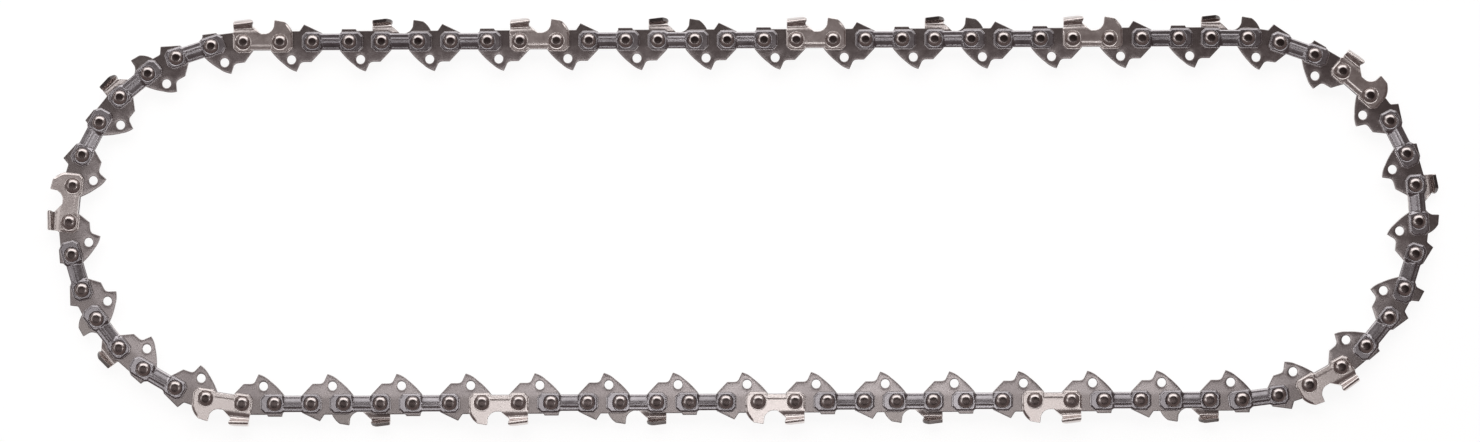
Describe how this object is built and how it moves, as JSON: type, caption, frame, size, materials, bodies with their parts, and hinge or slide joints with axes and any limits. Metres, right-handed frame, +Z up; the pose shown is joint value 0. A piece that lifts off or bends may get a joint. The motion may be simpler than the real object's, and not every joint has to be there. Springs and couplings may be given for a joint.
{
  "type": "chainsaw chain loop",
  "caption": "Closed chainsaw chain lying flat: hooked drive links riveted between tie straps, with right and left cutters by turns, each with a depth gauge ahead of its tooth.",
  "frame": {"origin": "centre of the loop, on the surface that the chain lies on", "axes": "+X along the straight runs, with the upper run travelling towards +X; +Y across the loop; +Z up, along the rivets"},
  "size_m": [0.3759, 0.1102, 0.0062],
  "materials": {
    "cutter_steel": "bright plated steel, satin",
    "strap_steel": "dark blued steel, satin",
    "drive_link_steel": "tumbled grey steel, satin",
    "rivet_steel": "polished steel heads"
  },
  "bodies": {
    "lower_run": {"lower_bumper_drive_links": "drive_link_steel", "lower_drive_links": "drive_link_steel", "lower_left_cutters": "cutter_steel", "lower_right_cutters": "cutter_steel", "lower_rivets": "rivet_steel", "lower_tie_straps": "strap_steel"},
    "upper_run": {"upper_bumper_drive_links": "drive_link_steel", "upper_drive_links": "drive_link_steel", "upper_left_cutters": "cutter_steel", "upper_right_cutters": "cutter_steel", "upper_rivets": "rivet_steel", "upper_tie_straps": "strap_steel"},
    "right_end_pair_8": {"right_end_tie_strap_8": "strap_steel", "right_end_riveted_strap_8": "strap_steel"},
    "right_end_drive_7": {"right_end_drive_link_7": "drive_link_steel"},
    "right_end_pair_7": {"right_end_right_cutter_7": "cutter_steel", "right_end_riveted_strap_7": "strap_steel"},
    "right_end_drive_6": {"right_end_drive_link_6": "drive_link_steel"},
    "right_end_pair_6": {"right_end_tie_strap_6": "strap_steel", "right_end_riveted_strap_6": "strap_steel"},
    "right_end_drive_5": {"right_end_drive_link_5": "drive_link_steel"},
    "right_end_pair_5": {"right_end_tie_strap_5": "strap_steel", "right_end_riveted_strap_5": "strap_steel"},
    "right_end_drive_4": {"right_end_drive_link_4": "drive_link_steel"},
    "right_end_pair_4": {"right_end_left_cutter_4": "cutter_steel", "right_end_riveted_strap_4": "strap_steel"},
    "right_end_drive_3": {"right_end_drive_link_3": "drive_link_steel"},
    "right_end_pair_3": {"right_end_tie_strap_3": "strap_steel", "right_end_riveted_strap_3": "strap_steel"},
    "right_end_drive_2": {"right_end_drive_link_2": "drive_link_steel"},
    "right_end_pair_2": {"right_end_right_cutter_2": "cutter_steel", "right_end_riveted_strap_2": "strap_steel"},
    "right_end_drive_1": {"right_end_drive_link_1": "drive_link_steel"},
    "right_end_pair_1": {"right_end_tie_strap_1": "strap_steel", "right_end_riveted_strap_1": "strap_steel"},
    "left_end_drive_1": {"left_end_drive_link_1": "drive_link_steel"},
    "left_end_pair_1": {"left_end_tie_strap_1": "strap_steel", "left_end_riveted_strap_1": "strap_steel"},
    "left_end_drive_2": {"left_end_drive_link_2": "drive_link_steel"},
    "left_end_pair_2": {"left_end_left_cutter_2": "cutter_steel", "left_end_riveted_strap_2": "strap_steel"},
    "left_end_drive_3": {"left_end_drive_link_3": "drive_link_steel"},
    "left_end_pair_3": {"left_end_tie_strap_3": "strap_steel", "left_end_riveted_strap_3": "strap_steel"},
    "left_end_drive_4": {"left_end_drive_link_4": "drive_link_steel"},
    "left_end_pair_4": {"left_end_right_cutter_4": "cutter_steel", "left_end_riveted_strap_4": "strap_steel"},
    "left_end_drive_5": {"left_end_drive_link_5": "drive_link_steel"},
    "left_end_pair_5": {"left_end_tie_strap_5": "strap_steel", "left_end_riveted_strap_5": "strap_steel"},
    "left_end_drive_6": {"left_end_drive_link_6": "drive_link_steel"},
    "left_end_pair_6": {"left_end_left_cutter_6": "cutter_steel", "left_end_riveted_strap_6": "strap_steel"},
    "left_end_drive_7": {"left_end_drive_link_7": "drive_link_steel"},
    "left_end_pair_7": {"left_end_tie_strap_7": "strap_steel", "left_end_riveted_strap_7": "strap_steel"},
    "left_end_drive_8": {"left_end_drive_link_8": "drive_link_steel"}
  },
  "joints": [
    {"name": "right_end_pivot_1", "type": "hinge", "parent": "lower_run", "child": "right_end_pair_8", "pos_m": [0.13418, -0.04879, 0.0031], "axis": [0, 0, 1], "range_deg": [-6.25, 6.25]},
    {"name": "right_end_pivot_2", "type": "hinge", "parent": "right_end_pair_8", "child": "right_end_drive_7", "pos_m": [0.14401, -0.04758, 0.0031], "axis": [0, 0, 1], "range_deg": [-7.9, 7.9]},
    {"name": "right_end_pivot_3", "type": "hinge", "parent": "right_end_drive_7", "child": "right_end_pair_7", "pos_m": [0.15232, -0.04488, 0.0031], "axis": [0, 0, 1], "range_deg": [-6.67, 6.67]},
    {"name": "right_end_pivot_4", "type": "hinge", "parent": "right_end_pair_7", "child": "right_end_drive_6", "pos_m": [0.16098, -0.04009, 0.0031], "axis": [0, 0, 1], "range_deg": [-3.28, 3.28]},
    {"name": "right_end_pivot_5", "type": "hinge", "parent": "right_end_drive_6", "child": "right_end_pair_6", "pos_m": [0.16769, -0.03449, 0.0031], "axis": [0, 0, 1], "range_deg": [-2.56, 2.56]},
    {"name": "right_end_pivot_6", "type": "hinge", "parent": "right_end_pair_6", "child": "right_end_drive_5", "pos_m": [0.17394, -0.02681, 0.0031], "axis": [0, 0, 1], "range_deg": [-3.08, 3.08]},
    {"name": "right_end_pivot_7", "type": "hinge", "parent": "right_end_drive_5", "child": "right_end_pair_5", "pos_m": [0.17807, -0.0191, 0.0031], "axis": [0, 0, 1], "range_deg": [-5.71, 5.71]},
    {"name": "right_end_pivot_8", "type": "hinge", "parent": "right_end_pair_5", "child": "right_end_drive_4", "pos_m": [0.181, -0.00965, 0.0031], "axis": [0, 0, 1], "range_deg": [-8.13, 8.13]},
    {"name": "right_end_pivot_9", "type": "hinge", "parent": "right_end_drive_4", "child": "right_end_pair_4", "pos_m": [0.18195, -0.00096, 0.0031], "axis": [0, 0, 1], "range_deg": [-9.07, 9.07]},
    {"name": "right_end_pivot_10", "type": "hinge", "parent": "right_end_pair_4", "child": "right_end_drive_3", "pos_m": [0.18114, 0.00891, 0.0031], "axis": [0, 0, 1], "range_deg": [-8.21, 8.21]},
    {"name": "right_end_pivot_11", "type": "hinge", "parent": "right_end_drive_3", "child": "right_end_pair_3", "pos_m": [0.17878, 0.01732, 0.0031], "axis": [0, 0, 1], "range_deg": [-6.22, 6.22]},
    {"name": "right_end_pivot_12", "type": "hinge", "parent": "right_end_pair_3", "child": "right_end_drive_2", "pos_m": [0.17435, 0.02617, 0.0031], "axis": [0, 0, 1], "range_deg": [-3.18, 3.18]},
    {"name": "right_end_pivot_13", "type": "hinge", "parent": "right_end_drive_2", "child": "right_end_pair_2", "pos_m": [0.16902, 0.0331, 0.0031], "axis": [0, 0, 1], "range_deg": [-2.56, 2.56]},
    {"name": "right_end_pivot_14", "type": "hinge", "parent": "right_end_pair_2", "child": "right_end_drive_1", "pos_m": [0.1616, 0.03966, 0.0031], "axis": [0, 0, 1], "range_deg": [-5.35, 5.35]},
    {"name": "right_end_pivot_15", "type": "hinge", "parent": "right_end_drive_1", "child": "right_end_pair_1", "pos_m": [0.15407, 0.04409, 0.0031], "axis": [0, 0, 1], "range_deg": [-9.18, 9.18]},
    {"name": "right_end_pivot_16", "type": "hinge", "parent": "right_end_pair_1", "child": "upper_run", "pos_m": [0.14474, 0.04741, 0.0031], "axis": [0, 0, 1], "range_deg": [-10.06, 10.06]},
    {"name": "left_end_pivot_1", "type": "hinge", "parent": "lower_run", "child": "left_end_drive_1", "pos_m": [-0.14531, -0.04726, 0.0031], "axis": [0, 0, 1], "range_deg": [-10, 10]},
    {"name": "left_end_pivot_2", "type": "hinge", "parent": "left_end_drive_1", "child": "left_end_pair_1", "pos_m": [-0.15354, -0.04434, 0.0031], "axis": [0, 0, 1], "range_deg": [-9.08, 9.08]},
    {"name": "left_end_pivot_3", "type": "hinge", "parent": "left_end_pair_1", "child": "left_end_drive_2", "pos_m": [-0.16207, -0.03931, 0.0031], "axis": [0, 0, 1], "range_deg": [-5.31, 5.31]},
    {"name": "left_end_pivot_4", "type": "hinge", "parent": "left_end_drive_2", "child": "left_end_pair_2", "pos_m": [-0.16862, -0.03352, 0.0031], "axis": [0, 0, 1], "range_deg": [-2.56, 2.56]},
    {"name": "left_end_pivot_5", "type": "hinge", "parent": "left_end_pair_2", "child": "left_end_drive_3", "pos_m": [-0.17466, -0.02568, 0.0031], "axis": [0, 0, 1], "range_deg": [-3.01, 3.01]},
    {"name": "left_end_pivot_6", "type": "hinge", "parent": "left_end_drive_3", "child": "left_end_pair_3", "pos_m": [-0.17857, -0.01786, 0.0031], "axis": [0, 0, 1], "range_deg": [-6.43, 6.43]},
    {"name": "left_end_pivot_7", "type": "hinge", "parent": "left_end_pair_3", "child": "left_end_drive_4", "pos_m": [-0.18124, -0.00833, 0.0031], "axis": [0, 0, 1], "range_deg": [-8.44, 8.44]},
    {"name": "left_end_pivot_8", "type": "hinge", "parent": "left_end_drive_4", "child": "left_end_pair_4", "pos_m": [-0.18196, 0.00038, 0.0031], "axis": [0, 0, 1], "range_deg": [-8.75, 8.75]},
    {"name": "left_end_pivot_9", "type": "hinge", "parent": "left_end_pair_4", "child": "left_end_drive_5", "pos_m": [-0.18088, 0.01022, 0.0031], "axis": [0, 0, 1], "range_deg": [-7.94, 7.94]},
    {"name": "left_end_pivot_10", "type": "hinge", "parent": "left_end_drive_5", "child": "left_end_pair_5", "pos_m": [-0.17829, 0.01857, 0.0031], "axis": [0, 0, 1], "range_deg": [-6.16, 6.16]},
    {"name": "left_end_pivot_11", "type": "hinge", "parent": "left_end_pair_5", "child": "left_end_drive_6", "pos_m": [-0.17361, 0.02729, 0.0031], "axis": [0, 0, 1], "range_deg": [-2.9, 2.9]},
    {"name": "left_end_pivot_12", "type": "hinge", "parent": "left_end_drive_6", "child": "left_end_pair_6", "pos_m": [-0.1681, 0.03407, 0.0031], "axis": [0, 0, 1], "range_deg": [-2.56, 2.56]},
    {"name": "left_end_pivot_13", "type": "hinge", "parent": "left_end_pair_6", "child": "left_end_drive_7", "pos_m": [-0.1605, 0.04042, 0.0031], "axis": [0, 0, 1], "range_deg": [-3.77, 3.77]},
    {"name": "left_end_pivot_14", "type": "hinge", "parent": "left_end_drive_7", "child": "left_end_pair_7", "pos_m": [-0.15285, 0.04465, 0.0031], "axis": [0, 0, 1], "range_deg": [-5.78, 5.78]},
    {"name": "left_end_pivot_15", "type": "hinge", "parent": "left_end_pair_7", "child": "left_end_drive_8", "pos_m": [-0.14344, 0.04771, 0.0031], "axis": [0, 0, 1], "range_deg": [-8.11, 8.11]}
  ],
  "couplings": [
    {"joint": "right_end_pivot_1", "follows": "left_end_pivot_1", "ratio": -0.6104},
    {"joint": "right_end_pivot_2", "follows": "left_end_pivot_1", "ratio": -0.77293},
    {"joint": "right_end_pivot_3", "follows": "left_end_pivot_1", "ratio": -0.65231},
    {"joint": "right_end_pivot_4", "follows": "left_end_pivot_1", "ratio": -0.31973},
    {"joint": "right_end_pivot_5", "follows": "left_end_pivot_1", "ratio": 0.24932},
    {"joint": "right_end_pivot_6", "follows": "left_end_pivot_1", "ratio": 0.30039},
    {"joint": "right_end_pivot_7", "follows": "left_end_pivot_1", "ratio": 0.55735},
    {"joint": "right_end_pivot_8", "follows": "left_end_pivot_1", "ratio": 0.7953},
    {"joint": "right_end_pivot_9", "follows": "left_end_pivot_1", "ratio": 0.88685},
    {"joint": "right_end_pivot_10", "follows": "left_end_pivot_1", "ratio": 0.80328},
    {"joint": "right_end_pivot_11", "follows": "left_end_pivot_1", "ratio": 0.60831},
    {"joint": "right_end_pivot_12", "follows": "left_end_pivot_1", "ratio": 0.30958},
    {"joint": "right_end_pivot_13", "follows": "left_end_pivot_1", "ratio": 0.24929},
    {"joint": "right_end_pivot_14", "follows": "left_end_pivot_1", "ratio": -0.52248},
    {"joint": "right_end_pivot_15", "follows": "left_end_pivot_1", "ratio": -0.89769},
    {"joint": "right_end_pivot_16", "follows": "left_end_pivot_1", "ratio": -0.98414},
    {"joint": "left_end_pivot_2", "follows": "left_end_pivot_1", "ratio": 0.88814},
    {"joint": "left_end_pivot_3", "follows": "left_end_pivot_1", "ratio": 0.5188},
    {"joint": "left_end_pivot_4", "follows": "left_end_pivot_1", "ratio": -0.24898},
    {"joint": "left_end_pivot_5", "follows": "left_end_pivot_1", "ratio": -0.29337},
    {"joint": "left_end_pivot_6", "follows": "left_end_pivot_1", "ratio": -0.62802},
    {"joint": "left_end_pivot_7", "follows": "left_end_pivot_1", "ratio": -0.82567},
    {"joint": "left_end_pivot_8", "follows": "left_end_pivot_1", "ratio": -0.85609},
    {"joint": "left_end_pivot_9", "follows": "left_end_pivot_1", "ratio": -0.77612},
    {"joint": "left_end_pivot_10", "follows": "left_end_pivot_1", "ratio": -0.6022},
    {"joint": "left_end_pivot_11", "follows": "left_end_pivot_1", "ratio": -0.2821},
    {"joint": "left_end_pivot_12", "follows": "left_end_pivot_1", "ratio": -0.24927},
    {"joint": "left_end_pivot_13", "follows": "left_end_pivot_1", "ratio": 0.36736},
    {"joint": "left_end_pivot_14", "follows": "left_end_pivot_1", "ratio": 0.56494},
    {"joint": "left_end_pivot_15", "follows": "left_end_pivot_1", "ratio": 0.79296}
  ]
}
